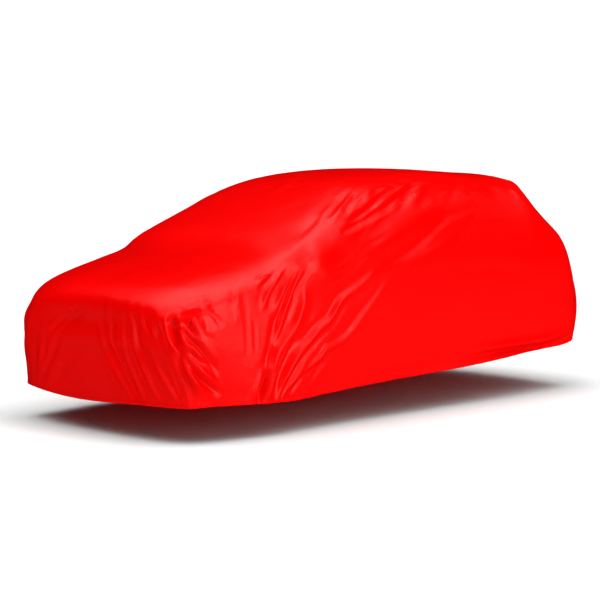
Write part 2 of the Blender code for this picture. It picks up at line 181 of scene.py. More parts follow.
foldColumns = ("view", "width", "height", "skew", "path")
folds = (
    # nose: sunk between the lamps under the bonnet's lip, and a crease over the bumper
    (0, 0.070, -0.014, 0.0, ((-0.58, 0.65), (-0.05, 0.67), (0.48, 0.68))),
    (0, 0.060, -0.006, 0.0, ((-0.62, 0.48), (0.00, 0.49), (0.60, 0.50))),
    # nose: long pleats from the lip, bent where they pass the bumper, and the hollows between them
    (0, 0.028, -0.020, -0.5, (
        (0.131, 0.77), (0.136, 0.685), (0.171, 0.605), (0.191, 0.54), (0.236, 0.48), (0.281, 0.415),
        (0.341, 0.345), (0.391, 0.29), (0.431, 0.245)
    )),
    (0, 0.024, -0.015, -0.5, (
        (0.221, 0.77), (0.231, 0.695), (0.241, 0.61), (0.261, 0.545), (0.301, 0.49), (0.346, 0.415),
        (0.391, 0.345), (0.436, 0.26)
    )),
    (0, 0.024, -0.008, -0.5, ((0.331, 0.775), (0.356, 0.65), (0.371, 0.56))),
    (0, 0.026, -0.017, -0.5, (
        (0.371, 0.59), (0.386, 0.505), (0.421, 0.435), (0.456, 0.365), (0.491, 0.305), (0.516, 0.255)
    )),
    (0, 0.027, -0.020, -0.5, (
        (0.401, 0.785), (0.431, 0.71), (0.451, 0.625), (0.471, 0.545), (0.511, 0.485), (0.546, 0.415),
        (0.581, 0.34), (0.621, 0.27)
    )),
    (0, 0.028, -0.013, -0.5, ((0.481, 0.785), (0.516, 0.715), (0.531, 0.64))),
    (0, 0.027, -0.007, -0.5, ((0.566, 0.75), (0.611, 0.665), (0.616, 0.595))),
    (0, 0.027, -0.015, -0.5, ((0.611, 0.48), (0.656, 0.41), (0.696, 0.35), (0.746, 0.265))),
    (0, 0.024, -0.013, -0.5, ((0.706, 0.46), (0.731, 0.38), (0.761, 0.285))),
    (0, 0.020, -0.008, -0.5, ((0.736, 0.43), (0.761, 0.355), (0.781, 0.27))),
    (0, 0.019, -0.006, 0.0, ((0.165, 0.465), (0.22, 0.395), (0.29, 0.31), (0.36, 0.25))),
    (0, 0.014, -0.006, 0.0, ((0.225, 0.55), (0.27, 0.475), (0.32, 0.41), (0.38, 0.325))),
    (0, 0.014, -0.005, 0.0, ((0.305, 0.555), (0.335, 0.49), (0.385, 0.415), (0.44, 0.325))),
    (0, 0.015, -0.006, 0.0, ((0.41, 0.565), (0.435, 0.5), (0.47, 0.43), (0.52, 0.345))),
    (0, 0.021, -0.006, 0.0, ((0.525, 0.555), (0.555, 0.485), (0.59, 0.405), (0.645, 0.34))),
    # nose: faint folds that lean the other way
    (0, 0.024, -0.013, -0.5, ((-0.296, 0.555), (-0.411, 0.395), (-0.551, 0.24))),
    (0, 0.024, -0.010, -0.5, ((-0.446, 0.535), (-0.486, 0.38))),
    (0, 0.024, -0.009, -0.5, ((-0.076, 0.75), (-0.241, 0.675), (-0.386, 0.58))),
    (0, 0.023, -0.009, -0.5, ((-0.026, 0.735), (-0.186, 0.655), (-0.316, 0.555))),
    (0, 0.026, -0.009, -0.5, ((-0.196, 0.42), (-0.366, 0.255))),
    (0, 0.029, -0.010, -0.5, ((-0.566, 0.56), (-0.591, 0.42), (-0.606, 0.3))),
    # +X front corner: a deep notch under the lamp, a groove to the hem and creases fanning back
    (45, 0.013, 0.025, 0.2, ((-0.91, 0.735), (-0.90, 0.68), (-0.88, 0.625), (-0.86, 0.58), (-0.84, 0.54))),
    (45, 0.018, -0.050, 0.0, ((-0.88, 0.725), (-0.86, 0.67), (-0.845, 0.615), (-0.835, 0.555))),
    (45, 0.02, -0.025, 0.0, (
        (-0.835, 0.565), (-0.825, 0.485), (-0.80, 0.405), (-0.77, 0.335), (-0.745, 0.27)
    )),
    (45, 0.009, -0.015, 0.0, ((-0.885, 0.74), (-0.855, 0.71), (-0.825, 0.675))),
    (45, 0.008, -0.011, 0.0, ((-0.85, 0.745), (-0.825, 0.715), (-0.805, 0.69))),
    (45, 0.013, -0.027, 0.0, ((-0.81, 0.755), (-0.78, 0.71), (-0.75, 0.665), (-0.73, 0.625))),
    (45, 0.014, -0.027, 0.0, ((-0.81, 0.66), (-0.765, 0.62), (-0.715, 0.57), (-0.67, 0.51), (-0.62, 0.43))),
    (45, 0.014, 0.015, 0.0, ((-0.805, 0.625), (-0.78, 0.58), (-0.745, 0.545))),
    (45, 0.013, -0.018, 0.0, ((-0.775, 0.57), (-0.75, 0.525), (-0.705, 0.485), (-0.645, 0.45))),
    (45, 0.016, -0.027, 0.0, (
        (-0.81, 0.545), (-0.77, 0.46), (-0.725, 0.405), (-0.675, 0.355), (-0.615, 0.295)
    )),
    (45, 0.018, 0.015, 0.0, ((-0.805, 0.51), (-0.77, 0.43), (-0.73, 0.355), (-0.695, 0.295))),
    (45, 0.016, 0.015, 0.0, ((-0.72, 0.45), (-0.67, 0.395), (-0.605, 0.33))),
    (45, 0.01, -0.018, 0.0, ((-0.70, 0.855), (-0.68, 0.82), (-0.665, 0.78), (-0.64, 0.765))),
    (45, 0.01, -0.011, 0.0, ((-0.655, 0.76), (-0.625, 0.735), (-0.59, 0.685))),
    (45, 0.01, -0.010, 0.0, ((-0.735, 0.74), (-0.72, 0.70), (-0.70, 0.68))),
    (45, 0.012, -0.010, 0.0, ((-0.795, 0.795), (-0.76, 0.76), (-0.725, 0.74))),
    # +X wing: upright pinches behind the lamp
    (90, 0.01, -0.008, 0.0, ((-1.545, 0.905), (-1.59, 0.85), (-1.605, 0.795))),
    (90, 0.010, -0.006, 0.0, (
        (-1.52, 0.85), (-1.515, 0.765), (-1.515, 0.68), (-1.51, 0.59), (-1.51, 0.485)
    )),
    (90, 0.01, -0.004, 0.0, ((-1.45, 0.695), (-1.45, 0.60), (-1.455, 0.515))),
    (90, 0.016, 0.003, 0.0, ((-1.54, 0.885), (-1.56, 0.77), (-1.565, 0.655))),
    # +X side: the fan that falls forward from the mirror
    (90, 0.017, 0.012, -0.1, ((-1.415, 0.90), (-1.345, 0.93), (-1.28, 0.955))),
    (90, 0.011, -0.006, 0.0, ((-1.41, 0.91), (-1.35, 0.945), (-1.285, 0.97))),
    (90, 0.012, -0.008, 0.0, ((-1.39, 0.89), (-1.325, 0.92), (-1.265, 0.95), (-1.22, 0.98))),
    (90, 0.018, 0.015, -0.1, (
        (-1.37, 0.78), (-1.34, 0.835), (-1.28, 0.90), (-1.225, 0.945), (-1.165, 0.99)
    )),
    (90, 0.013, -0.008, 0.0, ((-1.34, 0.80), (-1.29, 0.865), (-1.25, 0.895), (-1.195, 0.945))),
    (90, 0.018, 0.015, -0.1, (
        (-1.285, 0.735), (-1.245, 0.81), (-1.195, 0.885), (-1.15, 0.94), (-1.10, 0.985)
    )),
    (90, 0.012, -0.008, 0.0, ((-1.245, 0.79), (-1.205, 0.835), (-1.17, 0.875), (-1.14, 0.925))),
    (90, 0.018, 0.018, -0.1, (
        (-1.325, 0.545), (-1.26, 0.65), (-1.22, 0.745), (-1.175, 0.81), (-1.13, 0.895), (-1.085, 0.955),
        (-1.02, 1.03)
    )),
    (90, 0.012, -0.007, 0.0, ((-1.18, 0.775), (-1.145, 0.84), (-1.11, 0.90))),
    (90, 0.026, -0.008, 0.0, ((-1.33, 0.61), (-1.295, 0.675), (-1.245, 0.76))),
    # +X side: dark groove up from the front of the hem, then ridges that fan back to the belt
    (90, 0.02, -0.044, 0.0, ((-1.435, 0.215), (-1.415, 0.265), (-1.39, 0.325), (-1.37, 0.39))),
    (90, 0.02, -0.006, 0.0, ((-1.375, 0.40), (-1.365, 0.49), (-1.325, 0.57))),
    (90, 0.034, 0.026, 0.1, (
        (-1.365, 0.225), (-1.36, 0.31), (-1.34, 0.40), (-1.29, 0.50), (-1.225, 0.57), (-1.15, 0.635),
        (-1.10, 0.71), (-1.065, 0.785), (-1.06, 0.86)
    )),
    (90, 0.024, -0.012, 0.0, (
        (-1.32, 0.265), (-1.28, 0.365), (-1.215, 0.46), (-1.16, 0.54), (-1.11, 0.615)
    )),
    (90, 0.021, 0.021, 0.1, (
        (-1.30, 0.215), (-1.27, 0.285), (-1.225, 0.35), (-1.175, 0.415), (-1.105, 0.49), (-1.025, 0.55),
        (-0.945, 0.615), (-0.855, 0.665), (-0.805, 0.72), (-0.76, 0.77), (-0.70, 0.805), (-0.58, 0.855),
        (-0.445, 0.935)
    )),
    (90, 0.022, -0.006, 0.0, (
        (-1.245, 0.28), (-1.18, 0.36), (-1.095, 0.44), (-1.00, 0.51), (-0.885, 0.58)
    )),
    (90, 0.017, 0.014, 0.1, (
        (-1.265, 0.215), (-1.225, 0.275), (-1.17, 0.32), (-1.105, 0.37), (-1.05, 0.415)
    )),
    (90, 0.018, 0.015, 0.1, (
        (-1.09, 0.345), (-1.025, 0.385), (-0.955, 0.425), (-0.905, 0.455), (-0.88, 0.49),
        (-0.805, 0.505), (-0.71, 0.54), (-0.64, 0.59), (-0.575, 0.65), (-0.50, 0.715), (-0.42, 0.785),
        (-0.32, 0.875)
    )),
    (90, 0.014, -0.007, 0.0, ((-1.19, 0.255), (-1.105, 0.32), (-1.015, 0.365), (-0.925, 0.405))),
    # +X side: slack streaks from the mirror back along the belt
    (90, 0.02, 0.006, 0.0, ((-0.95, 0.865), (-0.83, 0.90), (-0.705, 0.93), (-0.55, 0.965))),
    (90, 0.016, 0.005, 0.0, ((-0.84, 0.845), (-0.705, 0.885), (-0.575, 0.93))),
    (90, 0.02, 0.005, 0.0, ((-0.935, 0.93), (-0.705, 0.98), (-0.45, 1.035))),
    # +X roof edge: one broad lit fold from the mirror up the screen pillar, narrow ridges before it
    (90, 0.07, 0.013, 0.0, (
        (-1.105, 1.05), (-0.96, 1.135), (-0.77, 1.215), (-0.57, 1.31), (-0.40, 1.365), (-0.225, 1.44),
        (0.01, 1.51)
    )),
    (90, 0.030, 0.006, 0.0, (
        (-0.23, 1.49), (-0.405, 1.425), (-0.55, 1.36), (-0.695, 1.295), (-0.80, 1.225), (-0.905, 1.165)
    )),
    (90, 0.018, -0.008, 0.0, (
        (-0.315, 1.455), (-0.44, 1.405), (-0.57, 1.345), (-0.675, 1.295), (-0.765, 1.24)
    )),
    (90, 0.018, 0.011, 0.0, ((-0.21, 1.48), (-0.36, 1.425), (-0.49, 1.36), (-0.60, 1.305), (-0.705, 1.25))),
    (90, 0.014, -0.009, 0.0, ((-0.21, 1.475), (-0.36, 1.415), (-0.475, 1.36), (-0.57, 1.31))),
    (90, 0.012, -0.008, 0.0, ((-0.05, 1.495), (-0.185, 1.435), (-0.275, 1.39))),
    # +X roof edge: deep grooves behind it, and the broad slack roll under them
    (90, 0.020, -0.026, 0.0, (
        (0.395, 1.54), (0.145, 1.495), (-0.04, 1.44), (-0.19, 1.395), (-0.32, 1.34), (-0.45, 1.29),
        (-0.59, 1.245)
    )),
    (90, 0.01, -0.006, 0.0, ((0.07, 1.45), (-0.085, 1.395), (-0.23, 1.345), (-0.355, 1.295))),
    (90, 0.018, -0.022, 0.0, (
        (0.585, 1.54), (0.24, 1.48), (0.07, 1.43), (-0.065, 1.385), (-0.195, 1.335), (-0.34, 1.29),
        (-0.495, 1.24), (-0.66, 1.195)
    )),
    (90, 0.018, 0.012, 0.0, ((0.265, 1.505), (0.05, 1.45), (-0.115, 1.40), (-0.285, 1.34))),
    (90, 0.014, -0.01, 0.0, ((0.435, 1.495), (0.245, 1.455), (0.095, 1.415), (-0.01, 1.375))),
    (90, 0.018, -0.012, 0.0, ((0.76, 1.505), (0.555, 1.46), (0.415, 1.425), (0.27, 1.375))),
    (90, 0.018, 0.007, 0.0, ((0.395, 1.46), (0.18, 1.405), (0.025, 1.355))),
    (90, 0.014, -0.006, 0.0, ((0.545, 1.42), (0.36, 1.37), (0.225, 1.325))),
    (90, 0.07, 0.012, 0.0, ((0.23, 1.33), (0.005, 1.26), (-0.195, 1.18), (-0.38, 1.095), (-0.58, 1.03))),
    (90, 0.045, -0.016, 0.0, (
        (0.375, 1.25), (0.195, 1.165), (0.035, 1.10), (-0.155, 1.04), (-0.34, 0.985)
    )),
    (90, 0.014, 0.012, 0.0, ((0.425, 1.25), (0.34, 1.205), (0.235, 1.16), (0.14, 1.11), (0.025, 1.065))),
    (90, 0.014, 0.006, 0.0, ((0.625, 1.275), (0.515, 1.235), (0.385, 1.18))),
    # roof: one faint fold over its front
    ("top", 0.018, 0.009, 0.0, (
        (-0.12, -0.06), (0.00, -0.25), (0.07, -0.39), (0.08, -0.47), (0.08, -0.53)
    )),
    # +X roof edge: where its grooves and ridges run on over the roof
    ("top", 0.026, 0.010, 0.0, ((0.76, -0.30), (0.68, -0.10), (0.58, 0.08), (0.42, 0.30))),
    ("top", 0.024, -0.016, 0.0, ((0.78, -0.10), (0.70, 0.08), (0.61, 0.26), (0.48, 0.46), (0.32, 0.66))),
    ("top", 0.022, 0.009, 0.0, ((0.76, 0.02), (0.68, 0.18), (0.58, 0.36), (0.44, 0.54))),
    ("top", 0.022, -0.014, 0.0, ((0.77, 0.10), (0.69, 0.28), (0.60, 0.46), (0.46, 0.66), (0.32, 0.82))),
    ("top", 0.022, -0.008, 0.0, ((0.74, 0.42), (0.66, 0.58), (0.54, 0.76))),
    ("top", 0.024, 0.007, 0.0, ((0.74, 0.58), (0.66, 0.76), (0.54, 0.94))),
    # +X side: rear roof corner, quarter and the roll above the rear hem
    (90, 0.014, -0.007, 0.0, ((0.895, 1.495), (0.78, 1.445), (0.69, 1.395))),
    (90, 0.016, 0.007, 0.0, ((0.94, 1.47), (0.905, 1.41), (0.88, 1.34))),
    (90, 0.013, -0.008, 0.0, ((1.085, 1.47), (1.005, 1.415), (0.99, 1.33))),
    (90, 0.012, 0.006, 0.0, ((1.125, 1.45), (1.09, 1.39), (1.07, 1.325))),
    (90, 0.012, -0.007, 0.0, ((1.215, 1.455), (1.175, 1.395), (1.17, 1.34))),
    (90, 0.014, 0.007, 0.0, ((1.26, 1.45), (1.24, 1.39), (1.235, 1.34))),
    (90, 0.014, 0.005, 0.0, ((0.715, 1.48), (0.635, 1.415), (0.565, 1.355))),
    (90, 0.013, 0.004, 0.0, ((0.685, 1.21), (0.87, 1.23), (1.075, 1.195))),
    (90, 0.05, -0.007, 0.0, ((0.22, 0.835), (0.375, 0.895), (0.58, 0.91), (0.895, 0.88), (1.17, 0.825))),
    (90, 0.022, -0.028, 0.0, (
        (0.50, 0.325), (0.80, 0.325), (0.985, 0.32), (1.155, 0.32), (1.33, 0.325), (1.515, 0.34),
        (1.66, 0.365)
    )),
    (90, 0.028, 0.013, 0.0, (
        (0.49, 0.34), (0.705, 0.355), (0.87, 0.365), (1.045, 0.37), (1.275, 0.375), (1.515, 0.39)
    )),
    (90, 0.024, 0.006, 0.0, ((-0.695, 0.255), (-0.38, 0.265), (-0.005, 0.285), (0.29, 0.29))),
    # tail: slack under the hatch's corners and across its foot
    (180, 0.058, 0.016, 0.0, ((-0.660, 0.88), (-0.730, 0.64), (-0.760, 0.38))),
    (180, 0.052, 0.019, 0.0, ((0.600, 0.84), (0.700, 0.60), (0.760, 0.36))),
    (180, 0.039, 0.014, 0.0, ((0.420, 0.86), (0.520, 0.62), (0.600, 0.36))),
    (180, 0.058, 0.013, 0.0, ((-0.240, 0.72), (-0.330, 0.54), (-0.440, 0.35))),
    (180, 0.039, 0.011, 0.0, ((-0.400, 0.86), (-0.500, 0.66), (-0.560, 0.46))),
    (180, 0.065, -0.016, 0.0, ((-0.560, 0.78), (0.000, 0.74), (0.560, 0.79))),
    (180, 0.034, 0.010, 0.0, ((-0.50, 1.38), (-0.30, 1.24), (-0.16, 1.08))),
    (180, 0.034, 0.010, 0.0, ((0.52, 1.40), (0.36, 1.22), (0.20, 1.06))),
    # -X side: the same supports, other folds
    (270, 0.039, 0.029, 0.2, ((1.330, 0.20), (1.180, 0.42), (1.000, 0.62), (0.860, 0.90))),
    (270, 0.034, 0.022, 0.2, ((1.280, 0.20), (1.080, 0.38), (0.840, 0.54), (0.560, 0.70), (0.300, 0.88))),
    (270, 0.029, 0.016, 0.2, ((1.250, 0.20), (0.980, 0.32), (0.640, 0.44), (0.300, 0.60))),
    (270, 0.034, 0.010, 0.0, ((0.960, 1.02), (1.120, 0.86), (1.240, 0.66), (1.360, 0.50))),
    (270, 0.029, 0.009, 0.0, ((1.050, 1.00), (1.220, 0.88), (1.370, 0.74))),
    (270, 0.039, -0.014, 0.0, ((0.560, 1.20), (0.300, 1.31), (-0.050, 1.42), (-0.420, 1.50))),
    (270, 0.034, 0.008, 0.0, ((0.720, 1.24), (0.460, 1.36), (0.160, 1.48))),
    (270, 0.034, -0.014, 0.0, ((0.300, 0.98), (0.020, 1.08), (-0.320, 1.22))),
    (270, 0.052, 0.016, 0.0, ((-0.700, 0.44), (-1.100, 0.46), (-1.560, 0.48))),
    (270, 0.034, -0.026, 0.0, ((-0.660, 0.35), (-1.100, 0.38), (-1.620, 0.41))),
    (315, 0.030, -0.014, 0.0, ((0.880, 0.74), (0.830, 0.52), (0.780, 0.26))),
    (315, 0.030, -0.013, 0.0, ((0.800, 0.74), (0.700, 0.62), (0.580, 0.50))),
    (315, 0.030, -0.012, 0.0, ((0.790, 0.56), (0.700, 0.44), (0.600, 0.34))),
)

# Small wrinkles: so many short folds, strewn round a middle point, all near one angle
strewing = {
    "scatter": 0.6,        # share of a field's reach and turn that most wrinkles stay within
    "half": (0.35, 0.65),  # ranges for half a wrinkle's length, its bend, height and width
    "bend": (-0.12, 0.12),
    "height": (0.4, 1.2),
    "width": (0.75, 1.4),
    "signs": (1, 1, -1),   # two ridges to a trough
}

wrinkleColumns = ("view", "count", "middle", "reach", "angle", "turn", "length", "width", "height")
wrinkles = (
    (45, 16, (-0.720, 0.740), (0.090, 0.090), -52, 22, 0.09, 0.010, 0.0045),
    (45, 12, (-0.700, 0.420), (0.090, 0.110), -48, 16, 0.11, 0.011, 0.0035),
    (0, 14, (0.600, 0.680), (0.130, 0.080), -66, 14, 0.09, 0.010, 0.0035),
    (0, 10, (0.250, 0.680), (0.160, 0.060), -80, 8, 0.10, 0.010, 0.0030),
    (0, 12, (-0.400, 0.420), (0.180, 0.120), -112, 12, 0.16, 0.014, 0.0020),
    (90, 12, (-1.540, 0.760), (0.060, 0.110), -90, 8, 0.13, 0.010, 0.0022),
    (90, 6, (-1.120, 0.900), (0.120, 0.060), -125, 8, 0.14, 0.009, 0.0016),
    (90, 16, (-0.660, 0.960), (0.240, 0.080), 16, 7, 0.30, 0.016, 0.0026),
    (90, 16, (0.020, 1.140), (0.420, 0.090), 25, 6, 0.32, 0.017, 0.0028),
    (90, 18, (0.180, 1.400), (0.420, 0.060), 25, 6, 0.28, 0.016, 0.0030),
    (90, 14, (-0.480, 1.330), (0.240, 0.090), 26, 6, 0.22, 0.015, 0.0026),
    (90, 14, (1.080, 1.410), (0.260, 0.050), -80, 16, 0.12, 0.011, 0.0028),
    (90, 14, (1.560, 0.860), (0.100, 0.180), -82, 12, 0.16, 0.014, 0.0026),
    (90, 22, (0.700, 0.760), (0.700, 0.200), 62, 30, 0.18, 0.022, 0.0022),
    (90, 22, (0.100, 0.520), (0.700, 0.160), 40, 26, 0.20, 0.022, 0.0018),
    (90, 12, (-0.900, 0.360), (0.200, 0.090), 40, 8, 0.20, 0.013, 0.0024),
    (180, 26, (0.000, 0.620), (0.600, 0.180), -84, 22, 0.20, 0.020, 0.0028),
    (180, 14, (0.000, 1.200), (0.420, 0.140), -80, 24, 0.20, 0.020, 0.0022),
    (270, 30, (0.100, 0.640), (1.200, 0.220), 140, 24, 0.22, 0.020, 0.0026),
    (270, 24, (0.150, 1.300), (0.550, 0.120), 155, 12, 0.28, 0.018, 0.0028),
    (315, 16, (0.720, 0.620), (0.090, 0.160), -120, 18, 0.12, 0.013, 0.0035),
    ("top", 12, (0.000, -1.450), (0.480, 0.250), 90, 30, 0.25, 0.030, 0.0012),
    ("top", 12, (0.000, 0.450), (0.420, 0.550), 75, 30, 0.30, 0.030, 0.0012),
)


def readTable(columns, rows):
    return [dict(zip(columns, row)) for row in rows]


def smoothRows(table, share):   # the rows joined by a smooth curve, read at shares 0 to 1
    chords = np.hypot(np.diff(table[:, 0]), np.diff(table[:, 1]))
    stops = np.concatenate(([0.0], np.cumsum(chords))) / chords.sum()
    after = np.minimum(np.arange(len(table)) + 1, len(table) - 1)
    before = np.maximum(np.arange(len(table)) - 1, 0)
    slopes = (table[after] - table[before]) / (stops[after] - stops[before])[:, None]
    row = np.clip(np.searchsorted(stops, share, side="right") - 1, 0, len(table) - 2)
    length = (stops[row + 1] - stops[row])[:, None]
    t = (share - stops[row])[:, None] / length
    return (
        (2 * t**3 - 3 * t**2 + 1) * table[row]
        + (t**3 - 2 * t**2 + t) * length * slopes[row]
        + (3 * t**2 - 2 * t**3) * table[row + 1]
        + (t**3 - t**2) * length * slopes[row + 1]
    )


def curveThrough(a, b, c, d, t):
    return (1 - t) ** 3 * a + 3 * (1 - t) ** 2 * t * b + 3 * (1 - t) * t**2 * c + t**3 * d


def drapedPlace(across, along, down):
    s = dict(zip(sectionColumns, smoothRows(np.array(sectionRows), (along + 1) / 2).T))
    outward = np.abs(across)
    topX = curveThrough(0, s["crownX"], s["edgeX"], s["shoulderX"], outward)
    topZ = curveThrough(s["crownZ"], s["crownZ"], s["edgeZ"], s["shoulderZ"], outward)

    overhang, middle = sideForm["overhang"], sideForm["middle"]
    leanX = s["shoulderX"] + (s["shoulderX"] - s["edgeX"]) * overhang
    leanX = np.minimum(leanX, s["sideX"] + sideForm["pastSide"])
    leanZ = s["shoulderZ"] - (s["edgeZ"] - s["shoulderZ"]) * overhang - sideForm["setOff"]
    middleZ = s["hemZ"] * (1 - middle) + s["shoulderZ"] * middle
    sideX = curveThrough(s["shoulderX"], leanX, s["sideX"], s["hemX"], down)
    sideZ = curveThrough(s["shoulderZ"], leanZ, middleZ, s["hemZ"], down)

    onEnd = np.abs(along) > rimShare
    blend = down ** sideForm["endBlend"]
    endX = (1 - blend) * topX + blend * sideX * outward ** sideForm["endPinch"]
    endZ = sideZ + (topZ - s["shoulderZ"]) * (1 - down) ** sideForm["endDrop"]
    x = np.where(down > 0, np.where(onEnd, endX, sideX), topX)
    z = np.where(down > 0, np.where(onEnd, endZ, sideZ), topZ)
    return roundedEnds(np.sign(across) * x, s["y"], z, down)


def roundedEnds(x, y, z, down):
    nose, tail, sag = ends["nose"], ends["tail"], ends["sag"]
    noseY, tailY = sectionRows[0][0], sectionRows[-1][0]
    belly = np.sin(np.pi * down ** ends["bulgePower"])
    nearNose = np.clip(1 - (y - noseY) / ends["reach"], 0, 1) ** 2
    nearTail = np.clip(1 - (tailY - y) / ends["reach"], 0, 1) ** 2
    y = y - nearNose * (nose["bulge"] * belly - nose["tuck"] * down**2)
    y = y + nearTail * (tail["bulge"] * belly - tail["tuck"] * down**2)
    z = z - nearNose * sag["depth"] * np.exp(-(((x - sag["x"]) / sag["width"]) ** 2)) * down**3

    middle = (noseY + tailY) / 2
    reach = (y - middle) / ((tailY - noseY) / 2)
    out = np.abs(x) / cover["halfWidth"]
    places = []
    for end in (nose, tail):
        narrowing = end["narrowing"] * np.abs(reach) ** ends["narrowingPower"]
        sweep = (end["sweep"] * out ** ends["sweepPower"] + end["bow"] * out**2) * np.abs(reach)
        places.append((x * (1 - narrowing), middle + (y - middle) * (1 - sweep)))
    atNose = reach < 0
    x, y = (np.where(atNose, a, b) for a, b in zip(*places))
    return np.stack((x, y, z), axis=1)


def readPlaces(bm):
    return np.array([v.co for v in bm.verts])


def readShares(bm):         # across, along and down the cloth
    onCloth = bm.verts.layers.float_vector["onCloth"]
    return np.array([v[onCloth] for v in bm.verts]).T


def readNormals(bm):
    bm.normal_update()
    return np.array([v.normal for v in bm.verts])


def writePlaces(bm, places):
    for vertex, place in zip(bm.verts, places):
        vertex.co = place


def viewAxes(view):     # right, up and towards the viewer
    if view == "top":
        return np.array(((1.0, 0.0, 0.0), (0.0, 1.0, 0.0), (0.0, 0.0, 1.0)))
    a = math.radians(view)
    return np.array(
        ((math.cos(a), math.sin(a), 0.0), (0.0, 0.0, 1.0), (math.sin(a), -math.cos(a), 0.0))
    )


def smoothPath(points, steps=6):    # a smooth curve through the points, in short straight steps
    points = np.array(points, float)
    first, last = 2 * points[0] - points[1], 2 * points[-1] - points[-2]
    around = np.vstack((first, points, last))
    path = []
    for i in range(len(points) - 1):
        a, b, c, d = around[i : i + 4]
        for step in range(steps):
            t = step / steps
            path.append(
                b + (c - a) * t / 2 + (2 * a - 5 * b + 4 * c - d) * t**2 / 2
                + (3 * b - a - 3 * c + d) * t**3 / 2
            )
    path.append(points[-1])
    return np.array(path)


def foldLift(places, normals, fold):    # how far one fold moves each point along its normal
    right, up, toward = viewAxes(fold["view"])
    facing = normals @ toward
    flat = np.stack((places @ right, places @ up), axis=1)
    path = smoothPath(fold["path"])
    reach = foldForm["reach"] * fold["width"]
    hidden, shown = foldForm["turned"]
    near = (
        (facing > hidden)
        & (flat > path.min(axis=0) - reach).all(axis=1)
        & (flat < path.max(axis=0) + reach).all(axis=1)
    )
    lift = np.zeros(len(places))
    if not near.any():
        return lift
    flat, facing = flat[near], facing[near]
    slope = np.stack((normals[near] @ right, normals[near] @ up), axis=1)
    nearest = np.full(len(flat), np.inf)
    share, side = np.zeros(len(flat)), np.ones(len(flat))
    for step, (a, b) in enumerate(zip(path[:-1], path[1:])):
        along = b - a
        t = np.clip((flat - a) @ along / (along @ along), 0, 1)
        gap = flat - a - t[:, None] * along
        depth = (gap * slope).sum(axis=1) / np.maximum(facing, foldForm["leastFacing"])
        distance = np.sqrt((gap**2).sum(axis=1) + depth**2)
        closer = distance < nearest
        nearest[closer] = distance[closer]
        share[closer] = (step + t[closer]) / (len(path) - 1)
        side[closer] = np.sign(along[0] * gap[:, 1] - along[1] * gap[:, 0])[closer]
    width = fold["width"] * (1 - fold["skew"] * side)
    crest = np.exp(-((nearest / width) ** foldForm["crest"]))
    out, wide, deep = foldForm["dip"]
    dip = deep * np.exp(-(((nearest - out * width) / (wide * width)) ** 2))
    start, stop = foldForm["ends"]
    fade = np.sin(np.pi * (start + (stop - start) * share)) ** foldForm["fade"]
    seen = np.clip((facing - hidden) / (shown - hidden), 0, 1)
    lift[near] = fold["height"] * fade * seen * (crest - dip)
    return lift


def strewnFolds(field, dice):
    scatter = strewing["scatter"]
    made = []
    for _ in range(field["count"]):
        middle = [dice.gauss(m, r * scatter) for m, r in zip(field["middle"], field["reach"])]
        angle = math.radians(dice.gauss(field["angle"], field["turn"] * scatter))
        half = field["length"] * dice.uniform(*strewing["half"])
        run = (math.cos(angle) * half, math.sin(angle) * half)
        bend = dice.uniform(*strewing["bend"])
        path = (
            (middle[0] - run[0], middle[1] - run[1]),
            (middle[0] - run[1] * bend, middle[1] + run[0] * bend),
            (middle[0] + run[0], middle[1] + run[1]),
        )
        height = field["height"] * dice.uniform(*strewing["height"]) * dice.choice(strewing["signs"])
        width = field["width"] * dice.uniform(*strewing["width"])
        made.append(dict(view=field["view"], width=width, height=height, skew=0.0, path=path))
    return made


def unevenness(places):     # slow waves in the cloth, millimetres high
    lift = np.zeros(len(places))
    for (height, scale), start in ((cover["swell"], (0, 0, 0)), (cover["ripple"], (9, 4, 2))):
        lift += [height * noise.noise(Vector(p) * scale + Vector(start)) for p in places]
    return lift


def relax(bm, verts, passes):
    inner = [vertex for vertex in verts if not vertex.is_boundary]
    for _ in range(passes):
        bmesh.ops.smooth_vert(
            bm, verts=inner, factor=0.5, use_axis_x=True, use_axis_y=True, use_axis_z=True
        )


def easeHem(bm, passes):    # the hem is an even curve that turns softly at the corners
    rim = [vertex for vertex in bm.verts if vertex.is_boundary]
    beside = {v: [e.other_vert(v) for e in v.link_edges if e.is_boundary] for v in rim}
    for _ in range(passes):
        eased = {v: (v.co + (a.co + b.co) / 2) / 2 for v, (a, b) in beside.items()}
        for vertex, place in eased.items():
            vertex.co = place


def within(place, region):
    return all(low < share < high for share, (low, high) in zip(place, region))


def evenGrid():             # a flat grid for the top, its rim drawn down in levels for the sides
    bm = bmesh.new()
    bmesh.ops.create_grid(bm, x_segments=cover["columns"], y_segments=cover["rows"], size=1.0)
    for level in range(1, cover["levels"] + 1):
        rim = [edge for edge in bm.edges if edge.is_boundary]
        drawn = bmesh.ops.extrude_edge_only(bm, edges=rim)["geom"]
        for item in drawn:
            if isinstance(item, bmesh.types.BMVert):
                item.co.z = level / cover["levels"]
    bmesh.ops.recalc_face_normals(bm, faces=bm.faces)
    return bm


def drape(bm):
    spreads = (columnSpread, rowSpread, levelSpread)
    shares = [np.interp(even, *table) for even, table in zip(readPlaces(bm).T, spreads)]
    onCloth = bm.verts.layers.float_vector.new("onCloth")
    for vertex, place in zip(bm.verts, zip(*shares)):
        vertex[onCloth] = place
    across, along, down = shares
    leanX = np.where(along == -1, down * np.interp(across, *noseLean), 0)
    leanY = np.where(across == 1, down * np.interp(along, *sideLean), 0)
    writePlaces(bm, drapedPlace(across + leanX, along + leanY, down))
    easeHem(bm, cover["hemEasing"])
    relax(bm, bm.verts, cover["smoothing"])


